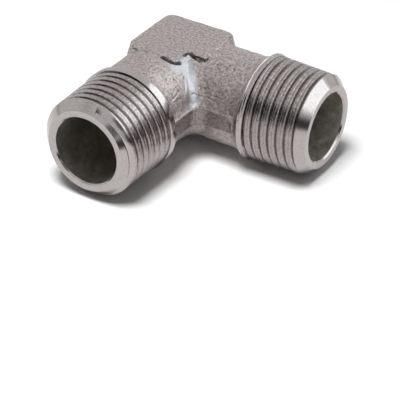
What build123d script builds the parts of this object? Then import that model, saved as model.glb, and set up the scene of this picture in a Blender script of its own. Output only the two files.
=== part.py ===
from build123d import *
import math
import os

# Equal elbow adapter with two male taper threads, forged as one piece and then machined.
# The origin is where the two port axes cross. One port points along +X, the other along -Y,
# and the forging's parting plane is the XY plane. Sizes are millimetres and degrees.

# Machined ports
CENTRE_TO_FACE = 33.8
WALL_AT_FACE = 3.2775
DRILL_PAST_CENTRE = 2.0
DRILL_POINT_ANGLE = 118.0
LIP_CHAMFER = 0.3
END_CHAMFER = 1.8

# Taper pipe thread, size 1/2: 14 threads to the inch, taper 1 in 16 on the diameter.
# Its turns are modelled as V ridges of the true pitch and depth, without their lead.
GAUGE_DIAMETER = 20.955
GAUGE_LENGTH = 6.4
THREAD_PITCH = 25.4 / 14
THREAD_DEPTH = 1.162
TAPER_ON_DIAMETER = 1 / 16
THREAD_LENGTH = 14.0
COLLAR_PROUD = 0.235
COLLAR_WIDTH = 1.1

# Forged body
NECK_BELOW_COLLAR = 1.35
NECK_SWEEP_LENGTH = 3.4
FLAT_BELOW_CROWN = 0.6
BLOCK_REACH = 9.8
BLOCK_DRAFT = 9.5
BLOCK_CORNER_RADIUS = 1.8
BLOCK_EDGE_CHAMFER = 0.4
FLAT_BEYOND_AXIS = 4.0
FLAT_END_SLOPE = 30.0
CROTCH_RADIUS = 3.0
CROTCH_TOP_DROP = 0.5

# Land that the trimmed flash leaves along the parting line
LAND_THICKNESS = 3.6
LAND_PROUD = 0.3
SHOULDER_HEIGHT = 2.2
SHOULDER_DRAFT = 30.0

# Sizes worked out from those above
CREST_SLOPE = TAPER_ON_DIAMETER / 2
CREST_AT_FACE = GAUGE_DIAMETER / 2 - GAUGE_LENGTH * CREST_SLOPE
COLLAR_FRONT = CENTRE_TO_FACE - THREAD_LENGTH
COLLAR_BACK = COLLAR_FRONT - COLLAR_WIDTH
COLLAR_RADIUS = CREST_AT_FACE + THREAD_LENGTH * CREST_SLOPE + COLLAR_PROUD
NECK_RADIUS = COLLAR_RADIUS - NECK_BELOW_COLLAR
BORE_RADIUS = CREST_AT_FACE - WALL_AT_FACE
FLAT_HEIGHT = NECK_RADIUS - FLAT_BELOW_CROWN
DRAFT_INSET = FLAT_HEIGHT * math.tan(math.radians(BLOCK_DRAFT))
FLAT_REACH = BLOCK_REACH - DRAFT_INSET


def crest_radius(behind_face):
    """Radius of the cone that the thread's crests lie on, a distance behind the port face."""
    return CREST_AT_FACE + behind_face * CREST_SLOPE


def thread_section():
    """Half section of the threaded length, which runs past the port face."""
    behind_face = THREAD_LENGTH
    points = [(COLLAR_FRONT, 0)]
    while behind_face > -THREAD_PITCH:
        root = behind_face - THREAD_PITCH / 2
        points.append((CENTRE_TO_FACE - behind_face, crest_radius(behind_face)))
        points.append((CENTRE_TO_FACE - root, crest_radius(root) - THREAD_DEPTH))
        behind_face -= THREAD_PITCH
    points.append((points[-1][0], 0))
    return make_face(Polyline(points, close=True))


def chamfered_section():
    """Half section of the space that the turned end may fill, with its outer chamfer."""
    foot = CREST_AT_FACE + END_CHAMFER * CREST_SLOPE
    points = [
        (COLLAR_FRONT, 0),
        (COLLAR_FRONT, COLLAR_RADIUS),
        (CENTRE_TO_FACE - END_CHAMFER, COLLAR_RADIUS),
        (CENTRE_TO_FACE - END_CHAMFER, foot),
        (CENTRE_TO_FACE, foot - END_CHAMFER),
        (CENTRE_TO_FACE, 0),
    ]
    return make_face(Polyline(points, close=True))


def neck_section():
    """Half section of the neck, the sweep that widens it in two steps, and the collar."""
    swept = COLLAR_BACK - NECK_SWEEP_LENGTH
    middle = COLLAR_BACK - NECK_SWEEP_LENGTH / 2
    quarter = NECK_BELOW_COLLAR / 4
    points = [
        (0, 0),
        (0, NECK_RADIUS),
        (swept, NECK_RADIUS),
        (middle, NECK_RADIUS + quarter),
        (COLLAR_BACK, COLLAR_RADIUS),
        (COLLAR_FRONT, COLLAR_RADIUS),
        (COLLAR_FRONT, 0),
    ]
    return make_face(Polyline(points, close=True))


def arm():
    """One threaded arm along +X, still without its bore."""
    turned_end = thread_section() & chamfered_section()
    return revolve(neck_section() + turned_end, Axis.X)


def bore():
    """Drilled hole of one arm along +X, with its conical point and the lip chamfer."""
    point = BORE_RADIUS / math.tan(math.radians(DRILL_POINT_ANGLE / 2))
    outline = Polyline(
        (-DRILL_PAST_CENTRE - point, 0),
        (-DRILL_PAST_CENTRE, BORE_RADIUS),
        (CENTRE_TO_FACE - LIP_CHAMFER, BORE_RADIUS),
        (CENTRE_TO_FACE + LIP_CHAMFER, BORE_RADIUS + 2 * LIP_CHAMFER),
        (CENTRE_TO_FACE + LIP_CHAMFER, 0),
        close=True,
    )
    return revolve(make_face(outline), Axis.X)


def other_arm(feature):
    """The same feature on the arm that points along -Y."""
    return Rot(0, 0, -90) * feature


def wing(across, along):
    """Drafted upper half of the block, out to one reach in +X and another in -Y."""
    outer = NECK_RADIUS
    plan = Pos((across - outer) / 2, (outer - along) / 2) * Rectangle(across + outer, along + outer)
    return extrude(plan, FLAT_HEIGHT, taper=BLOCK_DRAFT)


def upright_edge(solid, x, y):
    """The edge that runs up a corner of a drafted solid, nearest to a point of its plan."""
    upright = [edge for edge in solid.edges() if abs((edge @ 1).Z - (edge @ 0).Z) > FLAT_HEIGHT / 2]
    return min(upright, key=lambda edge: math.hypot((edge @ 0.5).X - x, (edge @ 0.5).Y - y))


def block():
    """Squared outer corner with drafted sides and flats, notched on the crotch side."""
    outer = NECK_RADIUS
    notch = FLAT_BEYOND_AXIS + DRAFT_INSET
    upper = wing(notch, BLOCK_REACH) + wing(BLOCK_REACH, notch)
    corners = [(-outer, outer), (BLOCK_REACH, outer), (-outer, -BLOCK_REACH)]
    upper = fillet([upright_edge(upper, x, y) for x, y in corners], BLOCK_CORNER_RADIUS)
    upper = chamfer(upper.faces().sort_by(Axis.Z)[-1].edges(), BLOCK_EDGE_CHAMFER)
    return upper + mirror(upper, Plane.XY)


def on_valley(point):
    """Whether a point lies in the plane between the arms, on the crotch side."""
    return abs(point.X + point.Y) < 0.01 and point.X > 0


def crotch():
    """Rounded valley between the necks, which stops just under the flats."""
    level = FLAT_HEIGHT - CROTCH_TOP_DROP
    round_bar = Plane.YZ * extrude(Circle(NECK_RADIUS), NECK_RADIUS + 3 * CROTCH_RADIUS / 2)
    slab = Box(4 * CENTRE_TO_FACE, 4 * CENTRE_TO_FACE, 2 * level)
    necks = (round_bar + other_arm(round_bar)) & slab
    valley = [edge for edge in necks.edges() if on_valley(edge @ 0.5)]
    return fillet(valley, CROTCH_RADIUS)


def plan_corner(plan, x, y):
    """The corner of a plan nearest to a point."""
    return plan.vertices().sort_by_distance((x, y, 0))[0]


def land():
    """Trimmed flash land along the parting line, with the sloping shoulders above and below."""
    side = NECK_RADIUS + LAND_PROUD
    reach = COLLAR_FRONT - COLLAR_WIDTH / 2
    plan = make_face(
        Polyline(
            (-side, side),
            (-side, -reach),
            (side, -reach),
            (side, -side),
            (reach, -side),
            (reach, side),
            close=True,
        )
    )
    plan = fillet(plan_corner(plan, side, -side), CROTCH_RADIUS - LAND_PROUD)
    plan = fillet(plan_corner(plan, -side, side), BLOCK_CORNER_RADIUS + LAND_PROUD)
    band = extrude(plan, LAND_THICKNESS / 2)
    slope = extrude(Pos(0, 0, LAND_THICKNESS / 2) * plan, SHOULDER_HEIGHT, taper=SHOULDER_DRAFT)
    upper = band + slope
    return upper + mirror(upper, Plane.XY)


def flat_relief():
    """Cutter that levels the necks' crowns to the upper flat over the block."""
    outer = -2 * NECK_RADIUS
    span = FLAT_REACH - outer
    middle = (FLAT_REACH + outer) / 2
    window = Pos(middle, -middle, FLAT_HEIGHT) * Rectangle(span, span)
    return extrude(window, NECK_RADIUS, taper=-FLAT_END_SLOPE)


def elbow_body():
    """The whole elbow, as one solid."""
    one_arm = arm()
    body = one_arm + other_arm(one_arm) + crotch() + land() + block()
    relief = flat_relief()
    body = body - relief - mirror(relief, Plane.XY)
    one_bore = bore()
    return body - one_bore - other_arm(one_bore)


os.makedirs("parts", exist_ok=True)
elbow = elbow_body()
export_step(elbow, "parts/elbow_body.step")
print("elbow_body", round(elbow.volume, 1), "mm3,", len(elbow.solids()), "solid")
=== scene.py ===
"""Looks of the elbow adapter: one forging with two turned and threaded ends, plated with nickel.

Everything is in metres in the part's own frame: the port axes cross at the origin, the right arm
runs along +X, the left one along -Y, and +Z is up. Both arms are modelled along +X, and the left
one is then turned into its place.
"""

import math

import bpy
import numpy as np
from mathutils import Matrix, Vector

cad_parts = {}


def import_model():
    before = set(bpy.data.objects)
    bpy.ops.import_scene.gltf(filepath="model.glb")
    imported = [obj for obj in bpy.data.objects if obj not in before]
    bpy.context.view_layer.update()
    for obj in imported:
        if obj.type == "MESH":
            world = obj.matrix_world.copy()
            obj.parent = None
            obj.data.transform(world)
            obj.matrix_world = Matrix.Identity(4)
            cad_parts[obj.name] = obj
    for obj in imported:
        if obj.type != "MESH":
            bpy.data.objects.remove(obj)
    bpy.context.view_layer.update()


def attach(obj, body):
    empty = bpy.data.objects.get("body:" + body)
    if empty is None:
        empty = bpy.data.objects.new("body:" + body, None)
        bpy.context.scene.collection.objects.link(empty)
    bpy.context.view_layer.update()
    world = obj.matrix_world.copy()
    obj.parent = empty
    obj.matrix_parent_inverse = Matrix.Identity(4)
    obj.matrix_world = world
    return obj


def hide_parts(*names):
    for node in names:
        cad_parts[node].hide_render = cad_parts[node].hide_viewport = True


MM = 0.001

# Sizes that the solid has too, in millimetres and degrees
CENTRE_TO_FACE = 33.8
BORE_RADIUS = 7.0
DRILL_PAST_CENTRE = 2.0
DRILL_POINT_ANGLE = 118
LIP_CHAMFER = 0.3
END_CHAMFER = 1.8
GAUGE_DIAMETER = 20.955
GAUGE_LENGTH = 6.4
PITCH = 25.4 / 14
CREST_SLOPE = 1 / 32
CREST_AT_FACE = GAUGE_DIAMETER / 2 - GAUGE_LENGTH * CREST_SLOPE
COLLAR_FRONT = 19.8
COLLAR_BACK = 18.7
COLLAR_RADIUS = 10.95
NECK_RADIUS = 9.6
FLAT_HEIGHT = 9.0
BLOCK_REACH = 9.8
BLOCK_DRAFT = 9.5
BLOCK_CORNER_RADIUS = 1.8
FLAT_BEYOND_AXIS = 4.0
LAND_HALF = 1.8
LAND_HEEL_RADIUS = 2.1
SHOULDER_TOP = 4.0
SHOULDER_DRAFT = 30
CROTCH_RADIUS = 3.0
LAND_CROTCH_RADIUS = CROTCH_RADIUS - 0.3
DRAFT_INSET = FLAT_HEIGHT * math.tan(math.radians(BLOCK_DRAFT))

# Sizes that only the scene has, fitted
LEFT_GROOVE_DEPTH = 1.05
RIGHT_GROOVE_DEPTH = 0.60
GROOVE_WIDTH = 0.70
GROOVE_EASE = 0.05
ROOT_WIDTH = 0.12
RIGHT_SEAM = 0.13
LEFT_SEAM = 0.03
SEAM_BRINK = 0.16
SEAM_ROOT = 0.05
SEAM_EASE = 0.01
RUN_OUT_DEPTH = 1.10
RUN_OUT_LENGTH = 0.2
RIGHT_COLLAR_OUT = 0.9
RIGHT_COLLAR_HOLLOW = 0.18
LEFT_COLLAR_WIDER = 0.65
COLLAR_EASE = 0.12
LEFT_NECK_THICKER = 0.2
LEFT_NECK_OFF = 0.25
SWEEP_RADIUS = 4.8
ARM_CORNER_RADIUS = 2.6
LAND_REACH = 10.1
LAND_LEDGE = 0.3
LEDGE_RISE = 0.05
RIGHT_LAND_END = 19.8
LEFT_LAND_END = 19.0
VALLEY_TOP = 8.4
RIGHT_THREAD_TURN = 45
LEFT_THREAD_TURN = 40

# Lengths by which pieces run into each other, and cutters past what they cut
BARS_START = -6
SPIGOT_LENGTH = 1.1
SPIGOT_RADIUS = 9.0
FACE_UNDER_CREST = 0.1
NECK_INTO_COLLAR = 0.6
NECK_UNDER_COLLAR = 0.08
FILLER_INTO_NECKS = 1.5
TRIM_PAST_FACE = 6
TRIM_PAST_CREST = 4
DRILL_PAST_FACE = 3
WINDOW_REACH = -20
WINDOW_HEIGHT = 4
WINDOW_FLARE = 1.08

# Unevenness of the forged skin: size and height of its lumps and of its grain
LUMPS = (2.2, 0.14)
GRAIN = (0.7, 0.07)

# How finely the forging is remeshed, and how many triangles are kept
GRAIN_OF_MESH = 0.15
KEPT_TRIANGLES = 140000

# Turns of thread, and steps round a turned piece, a turn of thread, a sweep and rounded edges
THREAD_TURNS = 9
ROUND = 128
TURN_STEPS = 96
SWEEP_STEPS = 8
HOLLOW_STEPS = 8
EDGE_STEPS = 6
VALLEY_STEP = 0.7
VALLEY_LEVELS = 25

# Vertices nearer than the first are merged, pushes under the second are left out, and edges that
# turn by less than the third are shaded smooth
MERGED = 0.002
LEAST_PUSH = 0.01
SMOOTH_ANGLE = 32

# Where the corners of the block are looked for in plan, how near, and how tall their edges are
BLOCK_CORNER = 9
NEAR_CORNER = 3
TALL_EDGE = 5

# Grooves left where the flats were coined: points along each, its width and its depth
COINED_GROOVES = [
    ([(1.6, -9.4, 9.9), (2.6, -9.5, 9.6), (3.4, -9.3, 9.3), (4.0, -8.8, 9.1),
      (4.4, -8.1, 9.0)], 1.4, 1.0),
    ([(3.9, -5.2, 9.0), (3.9, -4.3, 9.0), (4.4, -3.8, 9.0), (5.2, -4.0, 8.8), (6.2, -4.2, 8.7),
      (7.2, -4.4, 8.6), (7.9, -4.1, 8.7), (8.2, -3.6, 8.9)], 1.0, 0.8),
]

# Finer creases and scratches of the forging, as above
CREASES = [
    ([(-6.7, -8.3, 8.6), (-4.7, -8.5, 9.1), (-3.4, -9.0, 9.7), (-2.1, -9.5, 9.9)], 0.5, 0.35),
    ([(-4.6, -6.8, 9.0), (-3.3, -7.0, 9.0), (-2.2, -7.8, 9.1), (-1.0, -9.0, 10.0)], 0.45, 0.25),
    ([(-1.0, -9.0, 10.0), (0.2, -9.4, 10.0), (1.4, -9.4, 9.9)], 0.4, 0.2),
    ([(8.4, -2.6, 9.0), (8.3, -1.0, 9.0), (8.0, 1.0, 9.0), (8.0, 2.3, 9.0)], 0.5, 0.2),
    ([(8.0, 2.3, 9.0), (7.8, 3.7, 9.0), (7.7, 5.1, 9.0), (7.5, 6.5, 9.0)], 0.5, 0.35),
    ([(9.6, -8.4, 5.4), (10.3, -8.3, 5.2), (10.9, -8.3, 5.0)], 0.5, 0.3),
    ([(9.1, -10.0, 4.3), (10.2, -9.3, 3.8), (11.8, -8.9, 3.7), (13.5, -9.0, 3.4)], 0.45, 0.2),
    ([(10.8, -8.8, 4.3), (13.0, -8.6, 4.3), (15.5, -8.7, 4.2)], 0.4, 0.15),
    ([(8.0, -11.2, 5.3), (8.4, -11.9, 4.8), (8.5, -13.8, 4.7), (8.4, -15.5, 4.8)], 0.5, 0.3),
    ([(6.9, -9.7, 7.0), (7.5, -10.4, 6.2), (8.0, -11.2, 5.3)], 0.5, 0.2),
    ([(7.6, -12.5, 5.8), (7.9, -14.0, 5.5), (8.0, -16.0, 5.3)], 0.4, 0.15),
    ([(0.5, -12.4, 10.0), (1.4, -12.0, 9.9), (2.6, -11.6, 9.6)], 0.7, 0.12),
]

# Burrs that stand up beside the grooves: place, width and height
BURRS = [
    ((1.8, -7.5, 9.0), 0.7, 0.25),
    ((2.5, -7.4, 9.0), 0.9, 0.30),
    ((3.0, -6.6, 9.0), 0.7, 0.25),
    ((3.6, -4.2, 9.0), 0.8, 0.30),
    ((7.9, -2.4, 9.0), 1.0, 0.30),
    ((9.2, -3.2, 9.2), 0.9, 0.20),
    ((9.3, -2.0, 9.4), 0.9, 0.20),
]

# Ridges along the land and the end of the flat: points along each, its width and its height
RIDGES = [
    ([(10.9, -10.1, 1.9), (14.2, -10.1, 1.9), (16.2, -10.1, 1.8), (17.8, -10.1, 1.4)], 0.7, 0.35),
    ([(17.8, -10.1, 1.4), (18.2, -10.2, 0.4), (18.2, -10.2, -2.0)], 0.7, 0.35),
    ([(8.6, -3.0, 9.0), (8.7, -1.5, 9.0), (8.7, 0.6, 9.0)], 0.6, 0.20),
]

# Pits on the necks: place, width and depth
PITS = [
    ((11.5, -4.9, 8.3), 0.7, 0.30),
    ((10.9, -4.2, 8.6), 0.6, 0.25),
    ((11.9, -3.9, 8.8), 0.5, 0.20),
    ((13.1, -4.4, 8.5), 0.8, 0.30),
    ((13.4, -3.5, 8.9), 0.5, 0.20),
    ((14.7, -4.1, 8.7), 0.8, 0.30),
    ((15.6, -3.9, 8.8), 0.5, 0.20),
    ((16.2, -4.5, 8.5), 0.6, 0.25),
    ((17.4, -4.7, 8.6), 0.6, 0.25),
    ((12.3, -5.4, 8.0), 0.5, 0.15),
    ((14.0, -5.6, 7.8), 0.5, 0.15),
    ((9.8, -8.4, 5.1), 0.7, 0.30),
    ((5.3, -14.0, 8.3), 0.6, 0.25),
    ((6.2, -12.5, 7.6), 0.6, 0.25),
    ((6.1, -14.5, 7.7), 0.5, 0.20),
    ((7.2, -13.2, 6.6), 0.5, 0.20),
    ((6.6, -16.0, 7.3), 0.5, 0.15),
    ((0.9, -19.3, 10.9), 0.9, 0.25),
    ((2.1, -19.3, 10.8), 0.9, 0.25),
]


# Small modelling tools

def deselect():
    """Leaves nothing selected."""
    if bpy.context.mode != "OBJECT":
        bpy.ops.object.mode_set(mode="OBJECT")
    bpy.ops.object.select_all(action="DESELECT")


def take(piece):
    """Makes one piece the only selected and active one."""
    deselect()
    piece.select_set(True)
    bpy.context.view_layer.objects.active = piece


def named(name):
    """Names the piece that was just added."""
    piece = bpy.context.object
    piece.name = name
    piece.data.name = name
    return piece


def scaled(point):
    """A point in millimetres, in metres."""
    return tuple(MM * value for value in point)


def start_point(name, point):
    """A new piece that is a single vertex, open in edit mode."""
    deselect()
    bpy.ops.mesh.primitive_plane_add(size=MM, location=(0, 0, 0))
    piece = named(name)
    bpy.ops.object.mode_set(mode="EDIT")
    bpy.ops.mesh.select_all(action="SELECT")
    bpy.ops.mesh.merge(type="CENTER")
    bpy.ops.transform.translate(value=scaled(point))
    return piece


def draw_on(points):
    """Extrudes the selected vertex from point to point; the first point is where it is."""
    for start, end in zip(points, points[1:]):
        step = [b - a for a, b in zip(start, end)]
        bpy.ops.mesh.extrude_region_move(TRANSFORM_OT_translate={"value": scaled(step)})


def outline(name, points):
    """A new flat face with this outline, open in edit mode and selected."""
    piece = start_point(name, points[0])
    draw_on(points)
    bpy.ops.mesh.select_all(action="SELECT")
    bpy.ops.mesh.edge_face_add()
    return piece


def raise_face(step, scale=(1, 1, 1), centre=(0, 0, 0)):
    """Extrudes the selected face by a step, then scales it about a centre."""
    bpy.ops.mesh.extrude_region_move(TRANSFORM_OT_translate={"value": scaled(step)})
    if tuple(scale) != (1, 1, 1):
        bpy.ops.transform.resize(value=scale, center_override=scaled(centre))


def close_up():
    """Merges doubles, turns the faces outwards and leaves edit mode."""
    bpy.ops.mesh.select_all(action="SELECT")
    bpy.ops.mesh.remove_doubles(threshold=MERGED * MM)
    bpy.ops.mesh.normals_make_consistent(inside=False)
    bpy.ops.object.mode_set(mode="OBJECT")


def turned(name, section):
    """A solid turned about the X axis from a half section given as (along, radius) points."""
    piece = start_point(name, (section[0][0], 0, section[0][1]))
    draw_on([(along, 0, radius) for along, radius in section])
    bpy.ops.mesh.select_all(action="SELECT")
    bpy.ops.mesh.spin(steps=ROUND, angle=2 * math.pi, center=(0, 0, 0), axis=(1, 0, 0))
    close_up()
    return piece


def combine(piece, other, operation):
    """Joins another piece to this one or cuts it away, and removes the other."""
    take(piece)
    modifier = piece.modifiers.new(operation.lower(), "BOOLEAN")
    modifier.operation = operation
    modifier.solver = "MANIFOLD"
    modifier.object = other
    bpy.ops.object.modifier_apply(modifier=modifier.name)
    bpy.data.objects.remove(other)


def copied(piece, name):
    """A copy with its own mesh."""
    take(piece)
    bpy.ops.object.duplicate(linked=False)
    return named(name)


def turn_about(piece, axis, angle):
    """Turns a piece about an axis through the origin and applies the turn."""
    take(piece)
    piece.rotation_euler = [math.radians(angle) if letter == axis else 0 for letter in "XYZ"]
    bpy.ops.object.transform_apply(location=True, rotation=True, scale=True)


# Turned and threaded end

def crest(along):
    """Radius of the cone of the thread's crests, at a place along the arm."""
    return CREST_AT_FACE + (CENTRE_TO_FACE - along) * CREST_SLOPE


def cap_end(piece, place):
    """Closes the open edge on one side of a place along X with a fan to its middle."""
    bpy.ops.mesh.select_all(action="DESELECT")
    bpy.ops.mesh.select_non_manifold()
    bpy.ops.object.mode_set(mode="OBJECT")
    side = 1 if place > 0 else -1
    for vertex in piece.data.vertices:
        if side * (vertex.co.x - abs(place)) < 0:
            vertex.select = False
    for edge in piece.data.edges:
        edge.select = all(piece.data.vertices[i].select for i in edge.vertices) and edge.select
    bpy.ops.object.mode_set(mode="EDIT")
    bpy.ops.mesh.extrude_region_move(TRANSFORM_OT_translate={"value": (0, 0, 0)})
    bpy.ops.mesh.merge(type="CENTER")


def thread_bar(start, depth, seam):
    """Closed bar with the helical taper thread, from inside the collar to past the port face."""
    # Half of a turn as (along, drop): groove, its eased edge, crest and the seam in its middle
    root = ROOT_WIDTH / 2
    brink = GROOVE_WIDTH / 2
    half = [
        (0, depth),
        (root, depth),
        (brink - GROOVE_EASE * 0.4, GROOVE_EASE),
        (brink + GROOVE_EASE * 0.3, GROOVE_EASE * 0.3),
        (brink + GROOVE_EASE * 1.3, 0),
        (PITCH / 2 - SEAM_BRINK, SEAM_EASE),
        (PITCH / 2 - SEAM_ROOT, seam),
    ]
    places = half + [(PITCH - along, drop) for along, drop in reversed(half)]
    points = [(start + along, 0, crest(start + along) - drop) for along, drop in places]
    piece = start_point("thread", points[0])
    draw_on(points)
    bpy.ops.mesh.select_all(action="SELECT")
    bpy.ops.mesh.screw(steps=TURN_STEPS, turns=THREAD_TURNS, center=(0, 0, 0), axis=(-1, 0, 0))
    bpy.ops.mesh.select_all(action="SELECT")
    bpy.ops.mesh.remove_doubles(threshold=MERGED * MM)
    bpy.ops.transform.mirror(constraint_axis=(False, True, False), center_override=(0, 0, 0))
    middle = (start + THREAD_TURNS * PITCH / 2) * MM
    cap_end(piece, middle)
    cap_end(piece, -middle)
    close_up()
    return piece


def port_trim():
    """Ring that cuts the bar off at the port face and chamfers it."""
    foot = crest(CENTRE_TO_FACE - END_CHAMFER)
    section = [
        (CENTRE_TO_FACE, 0),
        (CENTRE_TO_FACE, foot - END_CHAMFER),
        (CENTRE_TO_FACE - END_CHAMFER - TRIM_PAST_CREST, foot + TRIM_PAST_CREST),
        (CENTRE_TO_FACE + TRIM_PAST_FACE, foot + TRIM_PAST_CREST),
        (CENTRE_TO_FACE + TRIM_PAST_FACE, 0),
    ]
    return turned("port trim", section)


def collar(out, wider, hollow):
    """Collar with eased edges, its spigot in the forging and the cone where the thread runs out."""
    front = COLLAR_FRONT + out + wider
    back = COLLAR_BACK + out
    run_out = front + RUN_OUT_LENGTH
    section = [
        (back - SPIGOT_LENGTH, 0),
        (back - SPIGOT_LENGTH, SPIGOT_RADIUS),
        (back, SPIGOT_RADIUS),
        (back, COLLAR_RADIUS - COLLAR_EASE / 2),
        (back + COLLAR_EASE / 2, COLLAR_RADIUS),
        (back + COLLAR_EASE + hollow, COLLAR_RADIUS - hollow),
        (front - COLLAR_EASE, COLLAR_RADIUS - hollow),
        (front, COLLAR_RADIUS - hollow - COLLAR_EASE / 2),
        (front, crest(front) - FACE_UNDER_CREST),
        (run_out, crest(run_out) - RUN_OUT_DEPTH),
        (run_out, 0),
    ]
    return turned("collar", section)


def turned_end(out, wider, hollow, depth, seam):
    """One turned end along +X: the trimmed thread on its collar, still without a bore."""
    piece = thread_bar(COLLAR_FRONT - PITCH / 2, depth, seam)
    combine(piece, port_trim(), "DIFFERENCE")
    combine(piece, collar(out, wider, hollow), "UNION")
    return piece


# Forged body

def neck(name, radius, out, outward, upward):
    """Round bar of one neck along +X, with the concave sweep that widens it up to the collar."""
    back = COLLAR_BACK + out
    swept_to = COLLAR_RADIUS - NECK_UNDER_COLLAR - math.hypot(outward, upward)
    rise = swept_to - radius
    run = math.sqrt(SWEEP_RADIUS ** 2 - (SWEEP_RADIUS - rise) ** 2)
    swept = back - run
    section = [(BARS_START, 0), (BARS_START, radius), (swept, radius)]
    for step in range(1, SWEEP_STEPS + 1):
        along = swept + run * step / SWEEP_STEPS
        drop = SWEEP_RADIUS - math.sqrt(SWEEP_RADIUS ** 2 - (along - swept) ** 2)
        section.append((along, radius + drop))
    section += [(back + NECK_INTO_COLLAR, swept_to), (back + NECK_INTO_COLLAR, 0)]
    piece = turned(name, section)
    bpy.ops.object.mode_set(mode="EDIT")
    bpy.ops.mesh.select_all(action="SELECT")
    bpy.ops.transform.translate(value=scaled((0, outward, upward)))
    bpy.ops.object.mode_set(mode="OBJECT")
    return piece


def flat_window(side):
    """Cutter that levels the necks over the block, above (1) or below (-1)."""
    near = BLOCK_REACH - DRAFT_INSET
    far = WINDOW_REACH
    points = [(far, -near), (near, -near), (near, -far), (far, -far)]
    piece = outline("flat window", [(x, y, side * FLAT_HEIGHT) for x, y in points])
    middle = (far, -far, side * (FLAT_HEIGHT + WINDOW_HEIGHT))
    raise_face((0, 0, side * WINDOW_HEIGHT), (WINDOW_FLARE, WINDOW_FLARE, 1), middle)
    close_up()
    return piece


def wing(name, across, along):
    """Drafted block that reaches one way along +X and another along -Y, both halves."""
    outer = NECK_RADIUS
    width = across + outer
    length = along + outer
    middle = ((across - outer) / 2, (outer - along) / 2, 0)
    shrink = ((width - 2 * DRAFT_INSET) / width, (length - 2 * DRAFT_INSET) / length, 1)
    grow = (1 / shrink[0], 1 / shrink[1], 1)
    left = middle[0] - width / 2 + DRAFT_INSET
    right = middle[0] + width / 2 - DRAFT_INSET
    front = middle[1] - length / 2 + DRAFT_INSET
    back = middle[1] + length / 2 - DRAFT_INSET
    corners = [(left, front), (right, front), (right, back), (left, back)]
    piece = outline(name, [(x, y, -FLAT_HEIGHT) for x, y in corners])
    raise_face((0, 0, FLAT_HEIGHT), grow, middle)
    raise_face((0, 0, FLAT_HEIGHT), shrink, middle)
    close_up()
    return piece


def round_corner(piece, x, y, radius):
    """Rounds the edges that run up one corner of a drafted block."""
    take(piece)
    bpy.ops.object.mode_set(mode="EDIT")
    bpy.ops.mesh.select_all(action="DESELECT")
    bpy.ops.object.mode_set(mode="OBJECT")
    corner = Vector(scaled((x, y, 0)))
    for edge in piece.data.edges:
        ends = [piece.data.vertices[i].co for i in edge.vertices]
        near = all((Vector((end.x, end.y, 0)) - corner).length < NEAR_CORNER * MM for end in ends)
        edge.select = near and abs(ends[0].z - ends[1].z) > TALL_EDGE * MM
    bpy.ops.object.mode_set(mode="EDIT")
    bpy.ops.mesh.bevel(offset=radius * MM, segments=EDGE_STEPS, affect="EDGES")
    bpy.ops.object.mode_set(mode="OBJECT")


def valley_points(radius):
    """Outline of a corner filler with a hollow arc, its corner at the origin."""
    inward = FILLER_INTO_NECKS
    points = [(-inward, inward), (radius, inward), (radius, 0)]
    for step in range(1, HOLLOW_STEPS + 1):
        angle = math.radians(90 * step / HOLLOW_STEPS)
        points.append((radius - radius * math.sin(angle), -radius + radius * math.cos(angle)))
    points.append((-inward, -radius))
    return points


def valley():
    """Rounded filler of the crotch, which follows both necks from below to above."""
    levels = [-VALLEY_TOP + VALLEY_STEP * step for step in range(VALLEY_LEVELS)]
    reach = [math.sqrt(NECK_RADIUS ** 2 - level ** 2) for level in levels]
    shape = valley_points(CROTCH_RADIUS)
    corner = reach[0]
    piece = outline("valley", [(x + corner, y - corner, levels[0]) for x, y in shape])
    for place in range(1, len(levels)):
        step = reach[place] - reach[place - 1]
        raise_face((step, -step, levels[place] - levels[place - 1]))
    close_up()
    return piece


def land_bar(name, length, side):
    """Bar along +X with the trimmed land along its middle and a slope above and below."""
    shelf = side - LAND_LEDGE
    slope = SHOULDER_TOP - LAND_HALF
    narrow = shelf - slope * math.tan(math.radians(SHOULDER_DRAFT))
    corners = [(BARS_START, -narrow), (length, -narrow), (length, narrow), (BARS_START, narrow)]
    piece = outline(name, [(x, y, -SHOULDER_TOP) for x, y in corners])
    raise_face((0, 0, slope - LEDGE_RISE), (1, shelf / narrow, 1))
    raise_face((0, 0, LEDGE_RISE), (1, side / shelf, 1))
    raise_face((0, 0, 2 * LAND_HALF))
    raise_face((0, 0, LEDGE_RISE), (1, shelf / side, 1))
    raise_face((0, 0, slope - LEDGE_RISE), (1, narrow / shelf, 1))
    close_up()
    return piece


def land_corner():
    """Filler of the land in the crotch."""
    shape = valley_points(LAND_CROTCH_RADIUS)
    slope = SHOULDER_TOP - LAND_HALF
    drawn_in = LAND_LEDGE + slope * math.tan(math.radians(SHOULDER_DRAFT))
    upper = [(LAND_HALF, 0), (LAND_HALF + LEDGE_RISE, -LAND_LEDGE), (SHOULDER_TOP, -drawn_in)]
    levels = [(-level, out) for level, out in reversed(upper)] + upper
    start = LAND_REACH + levels[0][1]
    piece = outline("land corner", [(x + start, y - start, levels[0][0]) for x, y in shape])
    for (low, before), (high, after) in zip(levels, levels[1:]):
        raise_face((after - before, before - after, high - low))
    close_up()
    return piece


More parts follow.
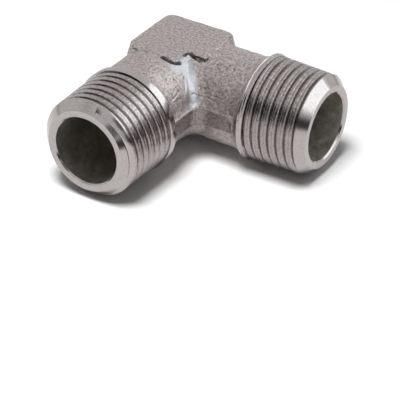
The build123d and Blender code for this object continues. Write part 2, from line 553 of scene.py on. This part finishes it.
def land_heel():
    """Land round the outer corner of the block."""
    outer = LAND_REACH
    corners = [(-outer, 0), (0, 0), (0, outer), (-outer, outer)]
    piece = outline("land heel", [(x, y, -LAND_HALF) for x, y in corners])
    raise_face((0, 0, 2 * LAND_HALF))
    close_up()
    take(piece)
    bpy.ops.object.mode_set(mode="EDIT")
    bpy.ops.mesh.select_all(action="DESELECT")
    bpy.ops.object.mode_set(mode="OBJECT")
    reach = BLOCK_CORNER * MM
    for edge in piece.data.edges:
        ends = [piece.data.vertices[i].co for i in edge.vertices]
        edge.select = all(end.x < -reach and end.y > reach for end in ends)
    bpy.ops.object.mode_set(mode="EDIT")
    bpy.ops.mesh.bevel(offset=LAND_HEEL_RADIUS * MM, segments=EDGE_STEPS, affect="EDGES")
    bpy.ops.object.mode_set(mode="OBJECT")
    return piece


def joined(pieces, name):
    """Several pieces in one mesh."""
    deselect()
    for piece in pieces:
        piece.select_set(True)
    bpy.context.view_layer.objects.active = pieces[0]
    bpy.ops.object.join()
    return named(name)


def applied(piece, kind, **settings):
    """Adds a modifier with these settings and applies it."""
    take(piece)
    modifier = piece.modifiers.new(kind.lower(), kind)
    for key, value in settings.items():
        setattr(modifier, key, value)
    bpy.ops.object.modifier_apply(modifier=modifier.name)


def distances(points, line):
    """Distance of each point from a line drawn through other points, all in millimetres."""
    nearest = np.full(len(points), np.inf)
    ends = np.array(line)
    for start, end in zip(ends, ends[1:]):
        run = end - start
        share = np.clip((points - start) @ run / (run @ run), 0, 1)
        away = np.linalg.norm(points - start - share[:, None] * run, axis=1)
        nearest = np.minimum(nearest, away)
    return nearest


def corners_of(piece):
    """The piece's vertices in millimetres."""
    flat = np.empty(3 * len(piece.data.vertices))
    piece.data.vertices.foreach_get("co", flat)
    return flat.reshape(-1, 3) / MM


def moved(piece, name, lines, way):
    """Presses lines and places into the skin (-1) or lifts them (1), most in their middles."""
    points = corners_of(piece)
    push = np.zeros(len(points))
    for line, width, depth in lines:
        share = np.clip(1 - (2 * distances(points, line) / width) ** 2, 0, 1)
        push = np.maximum(push, depth * np.sqrt(share) * share)
    most = float(push.max())
    group = piece.vertex_groups.new(name=name)
    for index in np.nonzero(push > LEAST_PUSH)[0]:
        group.add([int(index)], float(push[index]) / most, "REPLACE")
    applied(piece, "DISPLACE", vertex_group=name, strength=way * most * MM, mid_level=0)


def spots(places):
    """Places as very short lines."""
    short = 0.01
    return [([place, [value + short for value in place]], width, depth)
            for place, width, depth in places]


def uneven(piece, name, size, height):
    """Makes a skin uneven, with lumps of a size and height in millimetres."""
    lumps = bpy.data.textures.new(name, "CLOUDS")
    lumps.noise_scale = size * MM
    lumps.noise_depth = 2
    applied(piece, "DISPLACE", texture=lumps, texture_coords="LOCAL",
            strength=height * MM, mid_level=0.5)


def forging():
    """The forged body as one skin, with the softened edges that a die leaves."""
    right = neck("right neck", NECK_RADIUS, RIGHT_COLLAR_OUT, 0, 0)
    left = neck("left neck", NECK_RADIUS + LEFT_NECK_THICKER, 0, -LEFT_NECK_OFF, LEFT_NECK_OFF)
    turn_about(left, "Z", -90)
    for bar in (right, left):
        combine(bar, flat_window(1), "DIFFERENCE")
        combine(bar, flat_window(-1), "DIFFERENCE")
    notch = FLAT_BEYOND_AXIS + DRAFT_INSET
    wings = [wing("wing along x", BLOCK_REACH, notch), wing("wing along y", notch, BLOCK_REACH)]
    for piece in wings:
        round_corner(piece, -BLOCK_CORNER, BLOCK_CORNER, BLOCK_CORNER_RADIUS)
    round_corner(wings[0], BLOCK_CORNER, BLOCK_CORNER, ARM_CORNER_RADIUS)
    round_corner(wings[1], -BLOCK_CORNER, -BLOCK_CORNER, ARM_CORNER_RADIUS)
    lands = [land_bar("land x", RIGHT_LAND_END, LAND_REACH),
             land_bar("land y", LEFT_LAND_END, LAND_REACH)]
    turn_about(lands[1], "Z", -90)
    body = joined([right, left] + wings + lands + [valley(), land_corner(), land_heel()], "elbow")
    applied(body, "REMESH", mode="VOXEL", voxel_size=GRAIN_OF_MESH * MM, adaptivity=0)
    applied(body, "SMOOTH", factor=0.5, iterations=3)
    moved(body, "pressed", COINED_GROOVES + CREASES + spots(PITS), -1)
    moved(body, "burrs", spots(BURRS) + RIDGES, 1)
    uneven(body, "forged lumps", *LUMPS)
    uneven(body, "forged grain", *GRAIN)
    return body


def bore():
    """Drill that cuts one bore along +X, with its point and the lip's chamfer."""
    point = BORE_RADIUS / math.tan(math.radians(DRILL_POINT_ANGLE / 2))
    section = [
        (-DRILL_PAST_CENTRE - point, 0),
        (-DRILL_PAST_CENTRE, BORE_RADIUS),
        (CENTRE_TO_FACE - LIP_CHAMFER, BORE_RADIUS),
        (CENTRE_TO_FACE + LIP_CHAMFER, BORE_RADIUS + 2 * LIP_CHAMFER),
        (CENTRE_TO_FACE + DRILL_PAST_FACE, BORE_RADIUS + 2 * LIP_CHAMFER),
        (CENTRE_TO_FACE + DRILL_PAST_FACE, 0),
    ]
    return turned("bore", section)


def elbow():
    """The whole elbow: forging, both turned ends and the drilled bores, in one mesh."""
    body = forging()
    thin = KEPT_TRIANGLES / (2 * len(body.data.polygons))
    applied(body, "DECIMATE", ratio=min(1, thin))
    right = turned_end(RIGHT_COLLAR_OUT, 0, RIGHT_COLLAR_HOLLOW, RIGHT_GROOVE_DEPTH, RIGHT_SEAM)
    left = turned_end(0, LEFT_COLLAR_WIDER, 0, LEFT_GROOVE_DEPTH, LEFT_SEAM)
    turn_about(right, "X", RIGHT_THREAD_TURN)
    turn_about(left, "X", LEFT_THREAD_TURN)
    turn_about(left, "Z", -90)
    combine(body, right, "UNION")
    combine(body, left, "UNION")
    drill = bore()
    other = copied(drill, "other bore")
    turn_about(other, "Z", -90)
    combine(body, drill, "DIFFERENCE")
    combine(body, other, "DIFFERENCE")
    take(body)
    bpy.ops.object.shade_smooth_by_angle(angle=math.radians(SMOOTH_ANGLE))
    return body


# Materials

# Colours, each with the value of the grain's noise at which it is met
# Painted shade: dark colour for the bottoms of the coined grooves and the middles of the pits
GROOVE_SHADE_COLOURS = [
    (0.35, (0.12, 0.104, 0.096)),
    (0.65, (0.25, 0.225, 0.212)),
]
FORGED_COLOURS = [
    (0.32, (0.22, 0.187, 0.180)),
    (0.50, (0.41, 0.364, 0.354)),
    (0.68, (0.60, 0.550, 0.538)),
]
THREAD_COLOURS = [
    (0.35, (0.24, 0.207, 0.200)),
    (0.65, (0.38, 0.350, 0.342)),
]
SMOOTH_CUT_COLOURS = [
    (0.35, (0.37, 0.338, 0.331)),
    (0.65, (0.42, 0.390, 0.383)),
]
# Lighter than the outer plating: painted light inside the shaded bores
BORE_COLOURS = [
    (0.35, (0.42, 0.39, 0.35)),
    (0.65, (0.60, 0.57, 0.52)),
]
# Painted highlight: a pale, cool colour laid along the valley and beside the left groove
PAINTED_HIGHLIGHT_COLOUR = (0.40, 0.405, 0.425, 1)

# How much of its pale colour the painted highlight takes, and how bright the land stays under its
# painted shade
PAINTED_HIGHLIGHT_SHARE = 0.8
# Painted shade: the land's colour is dimmed to this share
LAND_SHADE_SHARE = 0.68

# Roughness of the finishes
GROOVE_SHADE_ROUGHNESS = (0.55, 0.75)
FORGED_ROUGHNESS = (0.46, 0.60)
HIGHLIGHT_ROUGHNESS = 0.42
THREAD_ROUGHNESS = (0.17, 0.25)
SMOOTH_CUT_ROUGHNESS = 0.16
BORE_ROUGHNESS = (0.38, 0.55)

# Where the painted highlight is, in millimetres from full to none: a band along the valley, above
# the land, and a patch beside the left groove, both with a ragged edge
BAND_OFF_DIAGONAL = 1.0
BAND_HALF_WIDTH = (1.2, 1.5)
BAND_START = (5.9, 6.4)
BAND_FLOOR = (1.9, 2.2)
PATCH_MIDDLE = (4.6, -9.2, 8.8)
PATCH_RADIUS = (1.2, 2.2)
RAGGED = 0.2

# Tool marks: noise to the millimetre along an arm and round it, and the strength of the marks
# and the grain that is left on the smooth cuts
MARKS_ALONG = 3.2
MARKS_ROUND = 0.05
MARKS_ON_CUTS = 0.3
GRAIN_ON_CUTS = 0.05

# Where the smooth cuts end on the collars, and how far they blend into the threads at the chamfer
COLLAR_CUT_END = (COLLAR_FRONT + 0.7, COLLAR_FRONT + 0.9)
CHAMFER_BLEND = 0.2

# Share of a groove's depth and of a pit's width that is painted dark as shade
DARK_IN_GROOVE = 0.62
DARK_IN_PIT = 0.3

# Places of the finishes in the elbow's list of materials
FORGED, TURNED_X, TURNED_Y, BORED, GROOVE_SHADE_SLOT = range(5)

# Object coordinates are metres: these make millimetres of them, straight and on a diagonal
PER_METRE = 1000
DIAGONAL = 707


def mapped_noise(nodes, links, where, scale, detail, stretch=(1, 1, 1)):
    """A noise pattern on the piece's own coordinates, in millimetres, stretched along an axis."""
    mapping = nodes.new("ShaderNodeMapping")
    mapping.inputs["Scale"].default_value = [PER_METRE * factor for factor in stretch]
    noise = nodes.new("ShaderNodeTexNoise")
    noise.inputs["Scale"].default_value = scale
    noise.inputs["Detail"].default_value = detail
    noise.inputs["Roughness"].default_value = 0.6
    links.new(where, mapping.inputs["Vector"])
    links.new(mapping.outputs["Vector"], noise.inputs["Vector"])
    return noise.outputs["Fac"]


def ranged(nodes, links, value, low, high, from_low=0.3, from_high=0.7):
    """A pattern's value spread over another range."""
    spread = nodes.new("ShaderNodeMapRange")
    spread.inputs["From Min"].default_value = from_low
    spread.inputs["From Max"].default_value = from_high
    spread.inputs["To Min"].default_value = low
    spread.inputs["To Max"].default_value = high
    links.new(value, spread.inputs["Value"])
    return spread.outputs["Result"]


def toned(nodes, links, value, stops):
    """A colour for a pattern's value, from (value, colour) stops."""
    ramp = nodes.new("ShaderNodeValToRGB")
    elements = ramp.color_ramp.elements
    elements[0].position = stops[0][0]
    elements[0].color = (*stops[0][1], 1)
    elements[1].position = stops[-1][0]
    elements[1].color = (*stops[-1][1], 1)
    for place, colour in stops[1:-1]:
        stop = elements.new(place)
        stop.color = (*colour, 1)
    links.new(value, ramp.inputs["Fac"])
    return ramp.outputs["Color"]


def bumped(nodes, links, height, depth, below=None):
    """A bump of a real depth in millimetres, laid over another bump."""
    bump = nodes.new("ShaderNodeBump")
    bump.inputs["Strength"].default_value = 1
    bump.inputs["Distance"].default_value = depth * MM
    links.new(height, bump.inputs["Height"])
    if below is not None:
        links.new(below, bump.inputs["Normal"])
    return bump.outputs["Normal"]


def plated(name):
    """A new metal material, with its shader and the piece's own coordinates."""
    material = bpy.data.materials.new(name)
    material.use_nodes = True
    nodes = material.node_tree.nodes
    links = material.node_tree.links
    shader = nodes["Principled BSDF"]
    shader.inputs["Metallic"].default_value = 1
    where = nodes.new("ShaderNodeTexCoord").outputs["Object"]
    return material, nodes, links, shader, where


def measured(nodes, links, where, direction):
    """How far a point or direction reaches along another direction."""
    reach = nodes.new("ShaderNodeVectorMath")
    reach.operation = "DOT_PRODUCT"
    reach.inputs[1].default_value = direction
    links.new(where, reach.inputs[0])
    return reach.outputs["Value"]


def reckoned(nodes, links, operation, *values):
    """One arithmetic operation on patterns' values and numbers."""
    sum_of = nodes.new("ShaderNodeMath")
    sum_of.operation = operation
    for socket, value in zip(sum_of.inputs, values):
        if isinstance(value, (int, float)):
            socket.default_value = value
        else:
            links.new(value, socket)
    return sum_of.outputs["Value"]


def mixed(nodes, links, share, value, other):
    """A value that goes over to another number as the share goes from 0 to 1."""
    mix = nodes.new("ShaderNodeMix")
    mix.inputs["B"].default_value = other
    links.new(share, mix.inputs["Factor"])
    links.new(value, mix.inputs["A"])
    return mix.outputs["Result"]


def shaded(nodes, links, colour, share):
    """A colour dimmed to a share of its strength."""
    dim = nodes.new("ShaderNodeVectorMath")
    dim.operation = "SCALE"
    links.new(colour, dim.inputs[0])
    links.new(share, dim.inputs["Scale"])
    return dim.outputs["Vector"]


def painted_highlight(nodes, links, where, mottle):
    """Share of the painted highlight: in the valley between the necks and beside the left groove.
    """
    across = measured(nodes, links, where, (DIAGONAL, DIAGONAL, 0))
    along = measured(nodes, links, where, (DIAGONAL, -DIAGONAL, 0))
    height = measured(nodes, links, where, (0, 0, PER_METRE))
    ragged = ranged(nodes, links, mottle, -RAGGED, RAGGED)
    offset = reckoned(nodes, links, "ADD", across, BAND_OFF_DIAGONAL)
    off_line = reckoned(nodes, links, "ABSOLUTE", offset)
    wavering = reckoned(nodes, links, "ADD", off_line, ragged)
    middle = ranged(nodes, links, wavering, 1, 0, *BAND_HALF_WIDTH)
    beyond = ranged(nodes, links, along, 0, 1, *BAND_START)
    above = ranged(nodes, links, height, 0, 1, *BAND_FLOOR)
    length = reckoned(nodes, links, "MULTIPLY", beyond, above)
    band = reckoned(nodes, links, "MULTIPLY", middle, length)
    away = nodes.new("ShaderNodeVectorMath")
    away.operation = "DISTANCE"
    away.inputs[1].default_value = scaled(PATCH_MIDDLE)
    links.new(where, away.inputs[0])
    from_middle = reckoned(nodes, links, "MULTIPLY", away.outputs["Value"], PER_METRE)
    ragged_edge = reckoned(nodes, links, "ADD", from_middle, ragged)
    patch = ranged(nodes, links, ragged_edge, 1, 0, *PATCH_RADIUS)
    return reckoned(nodes, links, "MAXIMUM", band, patch)


def groove_shade():
    """Painted shade: a dull dark colour for the bottoms of the coined grooves and the middles of
    the pits.
    """
    material, nodes, links, shader, where = plated("groove shade")
    grain = mapped_noise(nodes, links, where, scale=2.0, detail=3)
    links.new(toned(nodes, links, grain, GROOVE_SHADE_COLOURS), shader.inputs["Base Color"])
    links.new(ranged(nodes, links, grain, *GROOVE_SHADE_ROUGHNESS), shader.inputs["Roughness"])
    return material


def forged_nickel():
    """Satin plating on the forged skin: mottled, grainy and slightly pitted. It has a painted
    highlight in the valley and painted shade on the land.
    """
    material, nodes, links, shader, where = plated("forged nickel")
    grain = mapped_noise(nodes, links, where, scale=2.0, detail=5)
    colour = toned(nodes, links, grain, FORGED_COLOURS)
    level = measured(nodes, links, where, (0, 0, PER_METRE))
    height = reckoned(nodes, links, "ABSOLUTE", level)
    # Painted shade: the forging is coloured darker within the height of the land
    land_edge = (LAND_HALF - 0.05, LAND_HALF + 0.1)
    land_shade = ranged(nodes, links, height, LAND_SHADE_SHARE, 1, *land_edge)
    mottle = mapped_noise(nodes, links, where, scale=0.9, detail=4)
    # Painted highlight: pale colour and lower roughness in the valley and beside the left groove
    highlight_share = painted_highlight(nodes, links, where, mottle)
    tone = nodes.new("ShaderNodeMix")
    tone.data_type = "RGBA"
    tone.inputs["B"].default_value = PAINTED_HIGHLIGHT_COLOUR
    links.new(reckoned(nodes, links, "MULTIPLY", highlight_share, PAINTED_HIGHLIGHT_SHARE), tone.inputs["Factor"])
    links.new(shaded(nodes, links, colour, land_shade), tone.inputs["A"])
    links.new(tone.outputs["Result"], shader.inputs["Base Color"])
    rough = ranged(nodes, links, grain, *FORGED_ROUGHNESS)
    links.new(mixed(nodes, links, highlight_share, rough, HIGHLIGHT_ROUGHNESS), shader.inputs["Roughness"])
    coarse = bumped(nodes, links, mottle, depth=0.05)
    links.new(bumped(nodes, links, grain, depth=0.05, below=coarse), shader.inputs["Normal"])
    return material


def turned_nickel(name, axis):
    """Brighter plating on the turned ends, with tool marks that run round one axis."""
    material, nodes, links, shader, where = plated(name)
    if axis == "X":
        stretch = (MARKS_ALONG, MARKS_ROUND, MARKS_ROUND)
        outward = (PER_METRE, 0, 0)
    else:
        stretch = (MARKS_ROUND, MARKS_ALONG, MARKS_ROUND)
        outward = (0, -PER_METRE, 0)
    marks = mapped_noise(nodes, links, where, scale=1.5, detail=3, stretch=stretch)
    grain = mapped_noise(nodes, links, where, scale=2.0, detail=4)
    threads = toned(nodes, links, grain, THREAD_COLOURS)
    smooth_cuts = toned(nodes, links, grain, SMOOTH_CUT_COLOURS)
    reach = measured(nodes, links, where, outward)
    chamfer_start = CENTRE_TO_FACE - END_CHAMFER
    chamfer = ranged(nodes, links, reach, 0, 1, chamfer_start - CHAMFER_BLEND, chamfer_start)
    on_collar = ranged(nodes, links, reach, 1, 0, *COLLAR_CUT_END)
    cut = reckoned(nodes, links, "MAXIMUM", chamfer, on_collar)
    tone = nodes.new("ShaderNodeMix")
    tone.data_type = "RGBA"
    links.new(cut, tone.inputs["Factor"])
    links.new(threads, tone.inputs["A"])
    links.new(smooth_cuts, tone.inputs["B"])
    links.new(tone.outputs["Result"], shader.inputs["Base Color"])
    rough = ranged(nodes, links, grain, *THREAD_ROUGHNESS)
    links.new(mixed(nodes, links, cut, rough, SMOOTH_CUT_ROUGHNESS), shader.inputs["Roughness"])
    lines = bumped(nodes, links, marks, depth=0.02)
    grainy = bumped(nodes, links, grain, depth=0.015, below=lines)
    links.new(ranged(nodes, links, cut, 1, MARKS_ON_CUTS, 0, 1), lines.node.inputs["Strength"])
    links.new(ranged(nodes, links, cut, 1, GRAIN_ON_CUTS, 0, 1), grainy.node.inputs["Strength"])
    links.new(grainy, shader.inputs["Normal"])
    return material


def bored_nickel():
    """Dull plating inside the bores, coloured lighter than the outer plating as painted light in
    their shade.
    """
    material, nodes, links, shader, where = plated("bored nickel")
    grain = mapped_noise(nodes, links, where, scale=0.9, detail=4)
    links.new(toned(nodes, links, grain, BORE_COLOURS), shader.inputs["Base Color"])
    links.new(ranged(nodes, links, grain, *BORE_ROUGHNESS), shader.inputs["Roughness"])
    return material


def finish(body):
    """Gives each zone of the elbow its finish or its painted shade, by its place on the arms."""
    body.data.materials.clear()
    for material in (forged_nickel(), turned_nickel("nickel turned about x", "X"),
                     turned_nickel("nickel turned about y", "Y"), bored_nickel(), groove_shade()):
        body.data.materials.append(material)
    centres = np.empty(3 * len(body.data.polygons))
    body.data.polygons.foreach_get("center", centres)
    centres = centres.reshape(-1, 3) / MM
    # Painted shade: faces near the bottoms of the coined grooves and the middles of the pits get
    # the dark colour
    in_groove_shade = np.full(len(centres), False)
    for line, _, depth in COINED_GROOVES:
        in_groove_shade |= distances(centres + (0, 0, depth / 2), line) < DARK_IN_GROOVE * depth
    for line, width, _ in spots(PITS):
        in_groove_shade |= distances(centres, line) < DARK_IN_PIT * width
    slack = 0.03
    inside = BORE_RADIUS + 0.02
    drilled_from = -8
    for face in body.data.polygons:
        x, y, z = face.center / MM
        in_bore_x = x > drilled_from and math.hypot(y, z) < inside
        in_bore_y = -y > drilled_from and math.hypot(x, z) < inside
        if in_bore_x or in_bore_y:
            face.material_index = BORED
        elif x > COLLAR_BACK + RIGHT_COLLAR_OUT - slack:
            face.material_index = TURNED_X
        elif -y > COLLAR_BACK - slack:
            face.material_index = TURNED_Y
        elif in_groove_shade[face.index]:
            face.material_index = GROOVE_SHADE_SLOT
        else:
            face.material_index = FORGED


# Studio

# Camera: its place in metres, then the azimuth of its right side, its elevation and its roll in
# degrees, then its lens
CAMERA_PLACE = (0.176321, -0.280850, 0.190815)
CAMERA_TURN = (31.334, 33.597, 1.622)
LENS = 169.39
SENSOR_WIDTH = 36

# Lamps: their distance in metres, and the cool tint of the two that the metal mirrors
LAMP_DISTANCE = 0.6
COOL_TINT = (0.88, 0.96, 1.0)

# Floor: its size and height in metres, and its grey
FLOOR_SIZE = 4
FLOOR_HEIGHT = -0.01096
FLOOR_GREY = 0.9

# Dark parts of the studio. The first two are reaches up and to the right, from none to full. The
# others are spots, by azimuth and elevation, with the cosines from their rim to their full part
DARK_BELOW = (0.20, 0.36)
DARK_RIGHT = (0.45, 0.60)
FRONT_SPOT = (-122, 24)
FRONT_SPOT_EDGE = (0.92, 0.965)
CAMERA_SPOT = (-60, 28)
CAMERA_SPOT_EDGE = (0.96, 0.985)
CAMERA_SPOT_SHARE = 0.8
STUDIO_LEVELS = (0.92, 0.04)

# Share of the studio's light that reaches the floor and other dull surfaces
DULL_SHARE = 0.20


def towards(azimuth, elevation):
    """Unit vector in a direction given by its azimuth from +X and its elevation, in degrees."""
    a = math.radians(azimuth)
    e = math.radians(elevation)
    return Vector((math.cos(a) * math.cos(e), math.sin(a) * math.cos(e), math.sin(e)))


def look_from(azimuth, elevation, roll):
    """Turn of a camera at an elevation, whose right side points along an azimuth."""
    a = math.radians(azimuth)
    r = math.radians(roll)
    right = Vector((math.cos(a), math.sin(a), 0))
    back = towards(azimuth - 90, elevation)
    up = back.cross(right)
    across = math.cos(r) * right + math.sin(r) * up
    upright = math.cos(r) * up - math.sin(r) * right
    return Matrix((across, upright, back)).transposed()


def camera():
    """Camera at the photograph's place."""
    data = bpy.data.cameras.new("camera")
    data.lens = LENS
    data.sensor_width = SENSOR_WIDTH
    data.clip_end = 20
    thing = bpy.data.objects.new("camera", data)
    bpy.context.collection.objects.link(thing)
    place = Matrix.Translation(Vector(CAMERA_PLACE))
    thing.matrix_world = place @ look_from(*CAMERA_TURN).to_4x4()
    bpy.context.scene.camera = thing


def softbox(name, azimuth, elevation, width, height, power):
    """Oblong lamp in a direction from the elbow, turned towards it."""
    data = bpy.data.lights.new(name, "AREA")
    data.shape = "RECTANGLE"
    data.size = width
    data.size_y = height
    data.energy = power
    lamp = bpy.data.objects.new(name, data)
    bpy.context.collection.objects.link(lamp)
    lamp.location = towards(azimuth, elevation) * LAMP_DISTANCE
    lamp.rotation_euler = lamp.location.to_track_quat("Z", "Y").to_euler()
    return lamp


def lamps():
    """Two softboxes that the metal mirrors, and one that throws the shadow on the floor."""
    side = softbox("side softbox", azimuth=18, elevation=45, width=0.82, height=0.42, power=1.75)
    back = softbox("back softbox", azimuth=76, elevation=33, width=0.48, height=0.24, power=0.24)
    for lamp in (side, back):
        lamp.visible_diffuse = False
        lamp.data.color = COOL_TINT
    top = softbox("top softbox", azimuth=-83, elevation=71, width=0.22, height=0.22, power=4.2)
    top.visible_glossy = False


def floor():
    """White floor that keeps the elbow's shadow."""
    deselect()
    bpy.ops.mesh.primitive_plane_add(size=FLOOR_SIZE, location=(0, 0, FLOOR_HEIGHT))
    piece = named("floor")
    bpy.ops.object.transform_apply(location=True, rotation=True, scale=True)
    material = bpy.data.materials.new("white paper")
    material.use_nodes = True
    shader = material.node_tree.nodes["Principled BSDF"]
    shader.inputs["Base Color"].default_value = (FLOOR_GREY, FLOOR_GREY, FLOOR_GREY, 1)
    shader.inputs["Roughness"].default_value = 1
    shader.inputs["Specular IOR Level"].default_value = 0
    piece.data.materials.append(material)


def world():
    """Grey studio, dark low on the right, at the front left and behind the camera."""
    studio = bpy.data.worlds.new("studio")
    bpy.context.scene.world = studio
    studio.use_nodes = True
    nodes = studio.node_tree.nodes
    links = studio.node_tree.links
    where = nodes.new("ShaderNodeTexCoord").outputs["Generated"]
    upward = measured(nodes, links, where, (0, 0, 1))
    rightward = measured(nodes, links, where, (1, 0, 0))
    to_front = measured(nodes, links, where, towards(*FRONT_SPOT))
    to_camera = measured(nodes, links, where, towards(*CAMERA_SPOT))
    low = ranged(nodes, links, upward, 1, 0, *DARK_BELOW)
    right = ranged(nodes, links, rightward, 0, 1, *DARK_RIGHT)
    front = ranged(nodes, links, to_front, 0, 1, *FRONT_SPOT_EDGE)
    viewer = ranged(nodes, links, to_camera, 0, CAMERA_SPOT_SHARE, *CAMERA_SPOT_EDGE)
    low_right = reckoned(nodes, links, "MULTIPLY", low, right)
    sides = reckoned(nodes, links, "MAXIMUM", low_right, viewer)
    shade = reckoned(nodes, links, "MAXIMUM", sides, front)
    level = ranged(nodes, links, shade, *STUDIO_LEVELS, 0, 1)
    links.new(level, nodes["Background"].inputs["Color"])
    path = nodes.new("ShaderNodeLightPath")
    strength = ranged(nodes, links, path.outputs["Is Diffuse Ray"], 1, DULL_SHARE, 0, 1)
    links.new(strength, nodes["Background"].inputs["Strength"])


# The scene

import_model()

body = elbow()
finish(body)
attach(body, "root")
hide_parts("elbow_body")

floor()
world()
lamps()
camera()
bpy.context.scene.view_settings.view_transform = "Standard"
